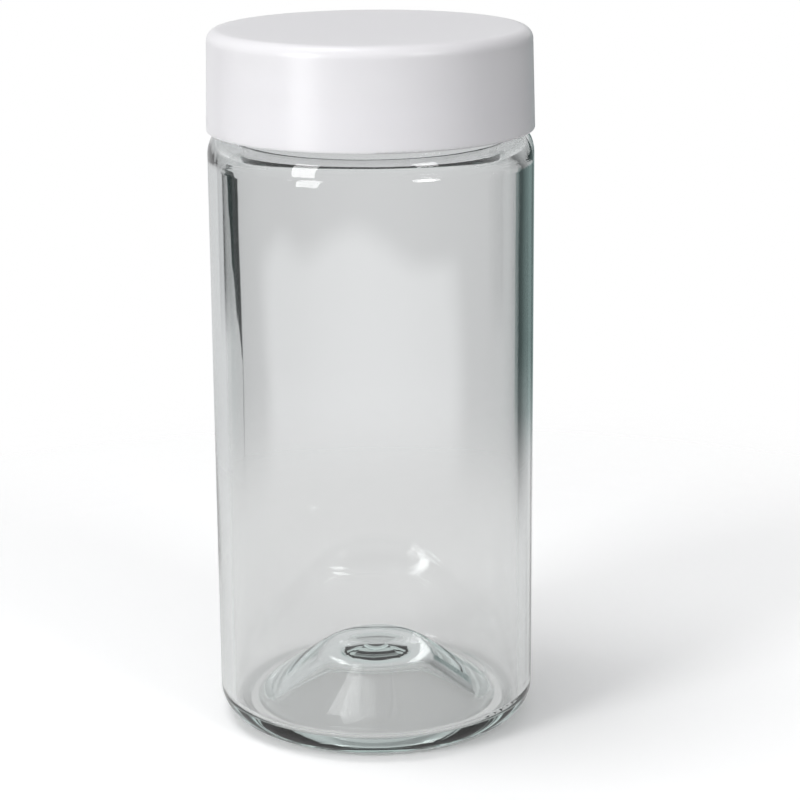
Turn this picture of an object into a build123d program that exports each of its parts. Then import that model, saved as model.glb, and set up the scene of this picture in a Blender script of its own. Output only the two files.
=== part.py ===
from build123d import *
from math import cos, radians, sin, sqrt
import os

# A straight-sided specimen jar: moulded glass jar, smooth screw cap, and the cap's two-layer liner.
# Millimetres, +Z up. The origin is the centre of the base, on the plane that the jar stands on.
# A value named ..._z is a height above that plane. The jar is closed, with its cap screwed home.

# ---------------------------------------------------------------- outside of the whole jar
body_diameter = 50.0  # the straight glass wall
overall_height = 109.3
cap_height = 15.4
cap_lip_diameter = 50.2  # at the open end
cap_top_diameter = 49.4  # the skirt has a little draft

# ---------------------------------------------------------------- neck finish, 48 mm, 6 threads an inch
thread_pitch = 25.4 / 6
neck_diameter = 44.1
glass_thread_diameter = 47.1
mouth_diameter = 39.0
glass_thread_turns = 1.5
cap_thread_turns = 1.75
rim_to_thread = 2.4  # rim down to the middle of the glass thread's top end
rim_outer_fillet = 0.8
rim_inner_fillet = 0.6

# ---------------------------------------------------------------- glass jar
wall_thickness = 2.2
heel_radius = 5.0  # outside, between base and wall
shoulder_radius = 5.0
shoulder_start_z = 90.3
neck_root_fillet = 0.5
inner_shoulder_low_z = 88.6
inner_shoulder_high_z = 95.2
# base: a truncated cone pushed up from below, and a rounded one over it inside
standing_ring_inner_radius = 17.0
push_up_height = 8.0
push_up_top_radius = 6.5
push_up_top_fillet = 6.0
push_up_foot_fillet = 4.0
dome_top_z = 12.0
dome_top_radius = 6.5
dome_foot_radius = 19.0
dome_top_fillet = 10.0
dome_foot_fillet = 7.0
inner_floor_z = 3.5  # the ring of floor between the dome's foot and the wall
inner_heel_radius = 1.2

# ---------------------------------------------------------------- screw cap
cap_ceiling_thickness = 1.45
thread_clearance = 0.3  # each thread's crest to the wall that it faces
cap_top_fillet = 1.8
cap_lip_fillet = 0.35
cap_ceiling_fillet = 0.2
lead_in = 0.5  # chamfer inside the open end
bead_reach = 0.5  # the ring that keeps the liner in the cap
bead_half_width = 0.4
bead_to_liner = 0.1

# ---------------------------------------------------------------- liner
backing_thickness = 1.0
facing_thickness = 0.25
liner_edge_clearance = 0.3

# ---------------------------------------------------------------- thread sections
glass_root_half_width = 1.15
glass_crest_half_width = 0.62
glass_crest_rise = 0.35  # how far the crest's arc stands above the ends of the flanks
cap_root_half_width = 0.95
cap_crest_half_width = 0.45
cap_crest_rise = 0.15
bearing_flank_gap = 0.15
thread_overlap = 0.9  # how far a thread's section runs back into its wall
sunk_share = 0.25  # a thread's ends start this share of its depth inside the wall
fade_angle = 30.0  # each end of a thread rises out of the wall over this many degrees
section_step = 15.0  # degrees between the sections of a thread

# ---------------------------------------------------------------- worked out
body_radius = body_diameter / 2
inner_radius = body_radius - wall_thickness
neck_radius = neck_diameter / 2
glass_thread_radius = glass_thread_diameter / 2
mouth_radius = mouth_diameter / 2
cap_lip_z = overall_height - cap_height
cap_ceiling_z = overall_height - cap_ceiling_thickness
rim_z = cap_ceiling_z - backing_thickness - facing_thickness
cap_bore_radius = glass_thread_radius + thread_clearance
cap_thread_radius = neck_radius + thread_clearance
liner_radius = cap_bore_radius - liner_edge_clearance

# The cap's thread lies under the glass thread. Their flanks come closest at the cap thread's crest.
glass_flank_slope = (glass_root_half_width - glass_crest_half_width) / (
    glass_thread_radius - glass_crest_rise - neck_radius
)
glass_half_width_at_cap_crest = glass_root_half_width - glass_flank_slope * (
    cap_thread_radius + cap_crest_rise - neck_radius
)
glass_thread_z = rim_z - rim_to_thread - glass_thread_turns * thread_pitch
cap_thread_z = glass_thread_z - (
    glass_half_width_at_cap_crest + cap_crest_half_width + bearing_flank_gap
)


def thread(wall_radius, crest_radius, root_half_width, crest_half_width, crest_rise, start_z, turns):
    """A right-hand thread, from +X at start_z upwards, that rises out of its wall at both ends.

    Its sections stand on half planes through the Z axis. Where the crest's radius is more than
    the wall's it is an outside thread, and otherwise an inside one.
    """
    outward = 1 if crest_radius > wall_radius else -1
    depth = abs(crest_radius - wall_radius)
    flank_slope = (root_half_width - crest_half_width) / (depth - crest_rise)
    back = wall_radius - outward * thread_overlap
    steps = round(turns * 360 / section_step)
    with BuildPart() as ridge:
        for step in range(steps + 1):
            angle = 360 * turns * step / steps
            risen = min(1, angle / fade_angle, (360 * turns - angle) / fade_angle)
            height = depth * (risen * (1 + sunk_share) - sunk_share)
            crest = wall_radius + outward * height
            flank_end = crest - outward * crest_rise
            back_half_width = crest_half_width + flank_slope * abs(flank_end - back)
            radial = Vector(cos(radians(angle)), sin(radians(angle)), 0)
            section_plane = Plane(
                origin=(0, 0, start_z + thread_pitch * angle / 360),
                x_dir=radial,
                z_dir=radial.cross(Vector(0, 0, 1)),
            )
            with BuildSketch(section_plane):
                with BuildLine():
                    Polyline(
                        (flank_end, crest_half_width),
                        (back, back_half_width),
                        (back, -back_half_width),
                        (flank_end, -crest_half_width),
                    )
                    ThreePointArc(
                        (flank_end, -crest_half_width), (crest, 0), (flank_end, crest_half_width)
                    )
                make_face()
        loft()
    return ridge.part


# ---------------------------------------------------------------- glass_jar
glass_thread = thread(
    neck_radius,
    glass_thread_radius,
    glass_root_half_width,
    glass_crest_half_width,
    glass_crest_rise,
    glass_thread_z,
    glass_thread_turns,
)
shoulder_centre_radius = body_radius - shoulder_radius
shoulder_end_z = shoulder_start_z + sqrt(
    shoulder_radius**2 - (neck_radius - shoulder_centre_radius) ** 2
)
inner_shoulder_middle = (
    (mouth_radius + inner_radius) / 2,
    (inner_shoulder_high_z + inner_shoulder_low_z) / 2,
)

with BuildPart() as glass_jar:
    with BuildSketch(Plane.XZ) as jar_section:
        with BuildLine():
            # underside, heel and wall
            Polyline(
                (0, dome_top_z),
                (0, push_up_height),
                (push_up_top_radius, push_up_height),
                (standing_ring_inner_radius, 0),
                (body_radius - heel_radius, 0),
            )
            TangentArc(
                (body_radius - heel_radius, 0), (body_radius, heel_radius), tangent=(1, 0)
            )
            Line((body_radius, heel_radius), (body_radius, shoulder_start_z))
            # shoulder, neck and rim
            TangentArc(
                (body_radius, shoulder_start_z), (neck_radius, shoulder_end_z), tangent=(0, 1)
            )
            Polyline(
                (neck_radius, shoulder_end_z),
                (neck_radius, rim_z),
                (mouth_radius, rim_z),
                (mouth_radius, inner_shoulder_high_z),
            )
            # the double curve inside the shoulder
            upper_curve = TangentArc(
                (mouth_radius, inner_shoulder_high_z), inner_shoulder_middle, tangent=(0, -1)
            )
            TangentArc(
                inner_shoulder_middle,
                (inner_radius, inner_shoulder_low_z),
                tangent=upper_curve % 1,
            )
            # inner wall, floor and dome
            Polyline(
                (inner_radius, inner_shoulder_low_z),
                (inner_radius, inner_floor_z),
                (dome_foot_radius, inner_floor_z),
                (dome_top_radius, dome_top_z),
                (0, dome_top_z),
            )
        make_face()
        rounded_corners = {
            (push_up_top_radius, push_up_height): push_up_top_fillet,
            (standing_ring_inner_radius, 0): push_up_foot_fillet,
            (inner_radius, inner_floor_z): inner_heel_radius,
            (dome_foot_radius, inner_floor_z): dome_foot_fillet,
            (dome_top_radius, dome_top_z): dome_top_fillet,
            (neck_radius, shoulder_end_z): neck_root_fillet,
            (neck_radius, rim_z): rim_outer_fillet,
            (mouth_radius, rim_z): rim_inner_fillet,
        }
        for corner, radius in rounded_corners.items():
            fillet(jar_section.vertices().sort_by_distance(corner)[0], radius)
    revolve(axis=Axis.Z)
    add(glass_thread)

# ---------------------------------------------------------------- screw_cap
cap_thread = thread(
    cap_bore_radius,
    cap_thread_radius,
    cap_root_half_width,
    cap_crest_half_width,
    cap_crest_rise,
    cap_thread_z,
    cap_thread_turns,
)
lip_corner = (cap_lip_diameter / 2, cap_lip_z)
top_corner = (cap_top_diameter / 2, overall_height)
ceiling_corner = (cap_bore_radius, cap_ceiling_z)
bead_high = (cap_bore_radius, rim_z - bead_to_liner)
bead_middle = (cap_bore_radius - bead_reach, bead_high[1] - bead_half_width)
bead_low = (cap_bore_radius, bead_high[1] - 2 * bead_half_width)

with BuildPart() as screw_cap:
    with BuildSketch(Plane.XZ) as cap_section:
        with BuildLine():
            Polyline(
                bead_low,
                (cap_bore_radius, cap_lip_z + lead_in),
                (cap_bore_radius + lead_in, cap_lip_z),
                lip_corner,
                top_corner,
                (0, overall_height),
                (0, cap_ceiling_z),
                ceiling_corner,
                bead_high,
            )
            ThreePointArc(bead_high, bead_middle, bead_low)
        make_face()
        rounded_corners = {
            lip_corner: cap_lip_fillet,
            top_corner: cap_top_fillet,
            ceiling_corner: cap_ceiling_fillet,
        }
        for corner, radius in rounded_corners.items():
            fillet(cap_section.vertices().sort_by_distance(corner)[0], radius)
    revolve(axis=Axis.Z)
    add(cap_thread)

# ---------------------------------------------------------------- liner: facing film, foam backing
with BuildPart() as liner_facing:
    with BuildSketch(Plane.XY.offset(rim_z)):
        Circle(liner_radius)
    extrude(amount=facing_thickness)

with BuildPart() as liner_backing:
    with BuildSketch(Plane.XY.offset(rim_z + facing_thickness)):
        Circle(liner_radius)
    extrude(amount=backing_thickness)

# ---------------------------------------------------------------- write the pieces
glass_jar.part.label = "glass_jar"
screw_cap.part.label = "screw_cap"
liner_facing.part.label = "liner_facing"
liner_backing.part.label = "liner_backing"

os.makedirs("parts", exist_ok=True)
for piece in (glass_jar, screw_cap, liner_facing, liner_backing):
    export_step(piece.part, f"parts/{piece.part.label}.step")
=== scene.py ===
from math import cos, degrees, radians, sin

import bpy
from mathutils import Matrix, Vector

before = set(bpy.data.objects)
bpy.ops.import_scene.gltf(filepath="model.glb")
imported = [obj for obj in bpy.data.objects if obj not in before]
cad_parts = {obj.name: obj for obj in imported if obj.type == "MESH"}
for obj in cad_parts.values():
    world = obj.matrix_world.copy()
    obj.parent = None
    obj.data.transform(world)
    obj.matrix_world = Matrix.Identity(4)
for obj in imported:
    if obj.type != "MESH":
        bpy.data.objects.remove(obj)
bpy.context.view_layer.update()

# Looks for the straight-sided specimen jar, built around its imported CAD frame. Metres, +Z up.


# ---------------------------------------------------------------- small helpers
def new_material(name):
    """A material with only a Principled BSDF and its output: (material, its tree, shader, output)."""
    material = bpy.data.materials.new(name)
    material.use_nodes = True
    tree = material.node_tree
    tree.nodes.clear()
    output = tree.nodes.new("ShaderNodeOutputMaterial")
    shader = tree.nodes.new("ShaderNodeBsdfPrincipled")
    tree.links.new(shader.outputs["BSDF"], output.inputs["Surface"])
    return material, tree, shader, output


def object_noise(tree, scale, detail=2.0, roughness=0.5, stretch=(1, 1, 1)):
    """Noise over the object's own coordinates; scale is in cycles per metre."""
    coordinates = tree.nodes.new("ShaderNodeTexCoord")
    mapping = tree.nodes.new("ShaderNodeMapping")
    mapping.inputs["Scale"].default_value = stretch
    noise = tree.nodes.new("ShaderNodeTexNoise")
    noise.inputs["Scale"].default_value = scale
    noise.inputs["Detail"].default_value = detail
    noise.inputs["Roughness"].default_value = roughness
    tree.links.new(coordinates.outputs["Object"], mapping.inputs["Vector"])
    tree.links.new(mapping.outputs["Vector"], noise.inputs["Vector"])
    return noise.outputs["Fac"]


def scaled(tree, value, low, high):
    """Maps a 0 to 1 value onto low to high."""
    node = tree.nodes.new("ShaderNodeMapRange")
    node.inputs["To Min"].default_value = low
    node.inputs["To Max"].default_value = high
    tree.links.new(value, node.inputs["Value"])
    return node.outputs["Result"]


def smooth_step(tree, value, start, stop, low=0.0, high=1.0):
    """Goes smoothly from low to high as the value goes from start to stop."""
    node = tree.nodes.new("ShaderNodeMapRange")
    node.interpolation_type = "SMOOTHSTEP"
    node.inputs["From Min"].default_value = start
    node.inputs["From Max"].default_value = stop
    node.inputs["To Min"].default_value = low
    node.inputs["To Max"].default_value = high
    tree.links.new(value, node.inputs["Value"])
    return node.outputs["Result"]


def linear_step(tree, value, start, stop):
    """Goes straight from 0 to 1 as the value goes from start to stop."""
    node = tree.nodes.new("ShaderNodeMapRange")
    node.inputs["From Min"].default_value = start
    node.inputs["From Max"].default_value = stop
    tree.links.new(value, node.inputs["Value"])
    return node.outputs["Result"]


def math_node(tree, operation, first, second=None):
    """One Math node. Its second input may be a socket or a number."""
    node = tree.nodes.new("ShaderNodeMath")
    node.operation = operation
    tree.links.new(first, node.inputs[0])
    if isinstance(second, (int, float)):
        node.inputs[1].default_value = second
    elif second is not None:
        tree.links.new(second, node.inputs[1])
    return node.outputs["Value"]


def product(tree, first, *others):
    """Multiplies sockets and numbers together. The first is a socket."""
    for other in others:
        first = math_node(tree, "MULTIPLY", first, other)
    return first


def between(tree, value, rise, fall):
    """1 between two soft edges and 0 beyond them. Each edge is given from where it is 0 to where it is 1."""
    return product(tree, smooth_step(tree, value, *rise), smooth_step(tree, value, *fall))


def bump(tree, height, distance, under=None):
    """A bump of the given depth in metres, stacked on another bump if one is given."""
    node = tree.nodes.new("ShaderNodeBump")
    node.inputs["Distance"].default_value = distance
    tree.links.new(height, node.inputs["Height"])
    if under is not None:
        tree.links.new(under, node.inputs["Normal"])
    return node.outputs["Normal"]


def dress(node, material):
    """Gives a CAD node one material."""
    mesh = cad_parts[node].data
    mesh.materials.clear()
    mesh.materials.append(material)


# ---------------------------------------------------------------- materials
def glass_material():
    material, tree, shader, output = new_material("clear_glass")
    shader.inputs["Base Color"].default_value = (0.968, 0.962, 0.962, 1)
    shader.inputs["Transmission Weight"].default_value = 1.0
    shader.inputs["IOR"].default_value = 1.52
    smears = object_noise(tree, 45, detail=4, roughness=0.6)
    tree.links.new(scaled(tree, smears, 0.0, 0.03), shader.inputs["Roughness"])
    ripple = object_noise(tree, 60, detail=1, stretch=(1, 1, 0.5))
    peel = object_noise(tree, 500, detail=1)
    normal = bump(tree, ripple, 0.00008)
    normal = bump(tree, peel, 0.000001, under=normal)
    tree.links.new(normal, shader.inputs["Normal"])
    absorption = tree.nodes.new("ShaderNodeVolumeAbsorption")
    absorption.inputs["Color"].default_value = (0.64, 0.90, 0.85, 1)
    absorption.inputs["Density"].default_value = 18
    tree.links.new(absorption.outputs["Volume"], output.inputs["Volume"])
    return material


def cap_material():
    material, tree, shader, _ = new_material("white_plastic")
    clouds = object_noise(tree, 90, detail=3)
    ramp = tree.nodes.new("ShaderNodeValToRGB")
    ramp.color_ramp.elements[0].color = (0.805, 0.795, 0.82, 1)
    ramp.color_ramp.elements[1].color = (0.845, 0.835, 0.855, 1)
    tree.links.new(clouds, ramp.inputs["Fac"])
    tree.links.new(ramp.outputs["Color"], shader.inputs["Base Color"])
    tree.links.new(scaled(tree, clouds, 0.24, 0.36), shader.inputs["Roughness"])
    shader.inputs["Subsurface Weight"].default_value = 1.0
    shader.inputs["Subsurface Radius"].default_value = (1, 1, 1)
    shader.inputs["Subsurface Scale"].default_value = 0.0015
    # painted glow: the cap gives off light of its own, but only where it is seen through the glass, so the
    # glass shows its inside lit
    painted_inside_glow = 0.4
    through_glass = tree.nodes.new("ShaderNodeLightPath").outputs["Is Transmission Ray"]
    shader.inputs["Emission Color"].default_value = (1, 1, 1, 1)
    tree.links.new(product(tree, through_glass, painted_inside_glow), shader.inputs["Emission Strength"])
    grain = object_noise(tree, 2500, detail=2)
    tree.links.new(bump(tree, grain, 0.000004), shader.inputs["Normal"])
    return material


def foam_material():
    material, tree, shader, _ = new_material("liner_foam")
    coordinates = tree.nodes.new("ShaderNodeTexCoord")
    cells = tree.nodes.new("ShaderNodeTexVoronoi")
    cells.inputs["Scale"].default_value = 5000
    tree.links.new(coordinates.outputs["Object"], cells.inputs["Vector"])
    ramp = tree.nodes.new("ShaderNodeValToRGB")
    ramp.color_ramp.elements[0].color = (0.70, 0.70, 0.67, 1)
    ramp.color_ramp.elements[1].color = (0.86, 0.86, 0.84, 1)
    tree.links.new(cells.outputs["Distance"], ramp.inputs["Fac"])
    tree.links.new(ramp.outputs["Color"], shader.inputs["Base Color"])
    tree.links.new(bump(tree, cells.outputs["Distance"], 0.00006), shader.inputs["Normal"])
    shader.inputs["Roughness"].default_value = 0.8
    return material


def film_material():
    material, tree, shader, _ = new_material("liner_film")
    clouds = object_noise(tree, 120, detail=3)
    ramp = tree.nodes.new("ShaderNodeValToRGB")
    ramp.color_ramp.elements[0].color = (0.84, 0.84, 0.82, 1)
    ramp.color_ramp.elements[1].color = (0.90, 0.90, 0.89, 1)
    tree.links.new(clouds, ramp.inputs["Fac"])
    tree.links.new(ramp.outputs["Color"], shader.inputs["Base Color"])
    tree.links.new(scaled(tree, clouds, 0.3, 0.45), shader.inputs["Roughness"])
    tree.links.new(bump(tree, clouds, 0.00003), shader.inputs["Normal"])
    return material


dress("glass_jar", glass_material())
dress("screw_cap", cap_material())
dress("liner_backing", foam_material())
dress("liner_facing", film_material())

# ---------------------------------------------------------------- camera
camera_distance = 0.4042
camera_pitch = 14.9  # degrees down
camera_pan = 0.589  # degrees to the right of the jar's axis
camera_roll = -0.608
aim_height = 0.0508
focal_length = 115.8  # on a 36 mm sensor

camera = bpy.data.objects.new("camera", bpy.data.cameras.new("camera"))
bpy.context.scene.collection.objects.link(camera)
camera.data.sensor_width = 36
camera.data.lens = focal_length
camera.data.clip_start = 0.01
camera.data.clip_end = 50
pitch = radians(camera_pitch)
place = Vector((0, -camera_distance * cos(pitch), aim_height + camera_distance * sin(pitch)))
camera.matrix_world = (
    Matrix.Translation(place)
    @ Matrix.Rotation(radians(90) - pitch, 4, "X")
    @ Matrix.Rotation(-radians(camera_pan), 4, "Y")
    @ Matrix.Rotation(radians(camera_roll), 4, "Z")
)
bpy.context.scene.camera = camera
bpy.context.scene.view_settings.view_transform = "Standard"


# ---------------------------------------------------------------- floor
def floor(solid_radius=0.09, edge_radius=0.20):
    """A pale light table that fades out at its edge, so that it has no line against the white behind it.

    The camera sees bright paper that takes shadows. The jar sees duller paper with an even glow.
    """
    paper_to_jar = 0.5
    paper_to_camera = 1.25
    glow_to_jar = 0.36
    glow_to_camera = 0
    bpy.ops.mesh.primitive_circle_add(vertices=128, radius=edge_radius, fill_type="NGON")
    disc = bpy.context.object
    disc.name = "floor"
    material, tree, shader, output = new_material("pale_floor")
    tree.nodes.remove(shader)
    seen = tree.nodes.new("ShaderNodeLightPath").outputs["Is Camera Ray"]
    paper = tree.nodes.new("ShaderNodeBsdfDiffuse")
    tree.links.new(scaled(tree, seen, paper_to_jar, paper_to_camera), paper.inputs["Color"])
    glow = tree.nodes.new("ShaderNodeEmission")
    tree.links.new(scaled(tree, seen, glow_to_jar, glow_to_camera), glow.inputs["Strength"])
    surface = tree.nodes.new("ShaderNodeAddShader")
    tree.links.new(paper.outputs["BSDF"], surface.inputs[0])
    tree.links.new(glow.outputs["Emission"], surface.inputs[1])
    nothing = tree.nodes.new("ShaderNodeBsdfTransparent")
    coordinates = tree.nodes.new("ShaderNodeTexCoord")
    distance = tree.nodes.new("ShaderNodeVectorMath")
    distance.operation = "LENGTH"
    tree.links.new(coordinates.outputs["Object"], distance.inputs[0])
    fade = smooth_step(tree, distance.outputs["Value"], solid_radius, edge_radius)
    mix = tree.nodes.new("ShaderNodeMixShader")
    tree.links.new(fade, mix.inputs["Fac"])
    tree.links.new(surface.outputs["Shader"], mix.inputs[1])
    tree.links.new(nothing.outputs["BSDF"], mix.inputs[2])
    tree.links.new(mix.outputs["Shader"], output.inputs["Surface"])
    disc.data.materials.append(material)


floor()


# ---------------------------------------------------------------- light
def toward(azimuth, elevation):
    """A unit vector out from the jar. Azimuth 0 is the camera's side and 90 is the jar's right."""
    a, e = radians(azimuth), radians(elevation)
    return Vector((sin(a) * cos(e), -cos(a) * cos(e), sin(e)))


def area_light(name, azimuth, elevation, distance, size, power, aim=Vector((0, 0, 0.06))):
    """A rectangular area light that faces the jar: degrees, degrees, metres, metres and watts."""
    light = bpy.data.lights.new(name, "AREA")
    light.shape = "RECTANGLE"
    light.size, light.size_y = size
    light.energy = power
    lamp = bpy.data.objects.new(name, light)
    out = toward(azimuth, elevation)
    lamp.location = aim + distance * out
    lamp.rotation_euler = out.to_track_quat("Z", "Y").to_euler()
    bpy.context.scene.collection.objects.link(lamp)


area_light("left_softbox", -47, 15, 0.8, (0.24, 0.50), 3.1)
area_light("right_lamp", 41, 30, 0.9, (0.22, 0.22), 1.2)
area_light("overhead", -78, 74, 0.8, (0.34, 0.34), 1.6)


def along(tree, direction, way):
    """The cosine of the angle between a direction and a fixed way."""
    node = tree.nodes.new("ShaderNodeVectorMath")
    node.operation = "DOT_PRODUCT"
    node.inputs[1].default_value = Vector(way).normalized()
    tree.links.new(direction, node.inputs[0])
    return node.outputs["Value"]


def sky_angles(tree, direction):
    """How many degrees a direction is to the right of straight behind, and how many it is up."""
    split = tree.nodes.new("ShaderNodeSeparateXYZ")
    tree.links.new(direction, split.inputs["Vector"])
    bearing = math_node(tree, "ARCTAN2", split.outputs["X"], split.outputs["Y"])
    height = math_node(tree, "ARCSINE", split.outputs["Z"])
    return product(tree, bearing, degrees(1)), product(tree, height, degrees(1))


def direction_noise(tree, direction, scale, detail, reach):
    """Noise over the directions, from -reach to reach."""
    noise = tree.nodes.new("ShaderNodeTexNoise")
    noise.inputs["Scale"].default_value = scale
    noise.inputs["Detail"].default_value = detail
    tree.links.new(direction, noise.inputs["Vector"])
    return scaled(tree, noise.outputs["Fac"], -reach, reach)


def straight_through(tree, path):
    """1 for light that comes straight through both walls of the jar, and otherwise 0.

    It has met four surfaces of glass, and Cycles counts its meeting with the world too.
    """
    compare = tree.nodes.new("ShaderNodeMath")
    compare.operation = "COMPARE"
    tree.links.new(path.outputs["Ray Depth"], compare.inputs[0])
    compare.inputs[1].default_value = 5
    compare.inputs[2].default_value = 0.5
    return compare.outputs["Value"]


def pale_room(tree, direction):
    """A pale backdrop in a dimmer room that is lighter in front, above and on the left."""
    backdrop = smooth_step(tree, along(tree, direction, (-0.25, 1, 0)), 0.45, 0.85, 0, 0.70)
    walls = smooth_step(tree, along(tree, direction, (-0.75, -0.1, 0.45)), -1, 1, 0.16, 0.45)
    front = smooth_step(tree, along(tree, direction, (0.15, -1, 0.25)), 0.3, 1, 0, 0.3)
    return math_node(tree, "ADD", math_node(tree, "MAXIMUM", backdrop, walls), front)


def lighter_middle(tree, direction, right_of_back, up, strength=0.16):
    """A lighter patch in the middle of the backdrop, with a cloudy edge."""
    wander = direction_noise(tree, direction, scale=14, detail=0, reach=1.4)
    across = math_node(tree, "ADD", right_of_back, wander)
    height = math_node(tree, "ADD", up, wander)
    return product(
        tree, between(tree, across, (-9, -6), (6.5, 3.5)), smooth_step(tree, height, -11, -12), strength
    )


def dark_on_the_right(tree, right_of_back, up, straight):
    """The dark part of the room past the backdrop's right edge, nearer for what the glass mirrors."""
    past_edge = math_node(tree, "SUBTRACT", right_of_back, scaled(tree, straight, 0, 20))
    return product(
        tree,
        smooth_step(tree, past_edge, 0, 8),
        smooth_step(tree, right_of_back, 80, 60),
        between(tree, up, (-17, -13.5), (5, 0)),
    )


def black_gap_on_the_left(tree, direction, right_of_back, up, straight):
    """The black gap past the backdrop's left edge, with what the glass mirrors beside it.

    It narrows downwards, and its outer side is ragged.
    """
    ragged_up = math_node(tree, "ADD", up, direction_noise(tree, direction, scale=60, detail=2, reach=0.6))
    width = product(tree, linear_step(tree, ragged_up, -13.9, -9.4), 10)
    gap = product(
        tree,
        smooth_step(tree, math_node(tree, "ADD", right_of_back, width), -14.2, -13.6),
        smooth_step(tree, right_of_back, -13.4, -14),
        straight,
    )
    mirrored = product(
        tree,
        between(tree, right_of_back, (-68, -64), (-40, -44)),
        between(tree, up, (-14, -12), (5, 0)),
    )
    return math_node(tree, "MAXIMUM", gap, mirrored)


def studio_world():
    """White to the camera. To the jar it is a pale room with something dark at each side behind it."""
    world = bpy.data.worlds.new("studio")
    world.use_nodes = True
    tree = world.node_tree
    tree.nodes.clear()
    output = tree.nodes.new("ShaderNodeOutputWorld")
    path = tree.nodes.new("ShaderNodeLightPath")
    direction = tree.nodes.new("ShaderNodeTexCoord").outputs["Generated"]
    right_of_back, up = sky_angles(tree, direction)
    straight = straight_through(tree, path)
    dark = dark_on_the_right(tree, right_of_back, up, straight)
    black = black_gap_on_the_left(tree, direction, right_of_back, up, straight)
    middle = lighter_middle(tree, direction, right_of_back, up)
    room = math_node(tree, "ADD", pale_room(tree, direction), middle)
    room = product(tree, room, scaled(tree, dark, 1, 0.40), scaled(tree, black, 1, 0))

    # the dark on the right is greenish
    tint = tree.nodes.new("ShaderNodeMix")
    tint.data_type = "RGBA"
    tint.inputs["A"].default_value = (0.985, 0.99, 1, 1)
    tint.inputs["B"].default_value = (0.75, 1, 0.98, 1)
    tree.links.new(dark, tint.inputs["Factor"])
    to_jar = tree.nodes.new("ShaderNodeBackground")
    tree.links.new(tint.outputs["Result"], to_jar.inputs["Color"])
    tree.links.new(room, to_jar.inputs["Strength"])
    to_camera = tree.nodes.new("ShaderNodeBackground")
    to_camera.inputs["Color"].default_value = (1, 1, 1, 1)
    mix = tree.nodes.new("ShaderNodeMixShader")
    tree.links.new(path.outputs["Is Camera Ray"], mix.inputs["Fac"])
    tree.links.new(to_jar.outputs["Background"], mix.inputs[1])
    tree.links.new(to_camera.outputs["Background"], mix.inputs[2])
    tree.links.new(mix.outputs["Shader"], output.inputs["Surface"])
    bpy.context.scene.world = world


studio_world()
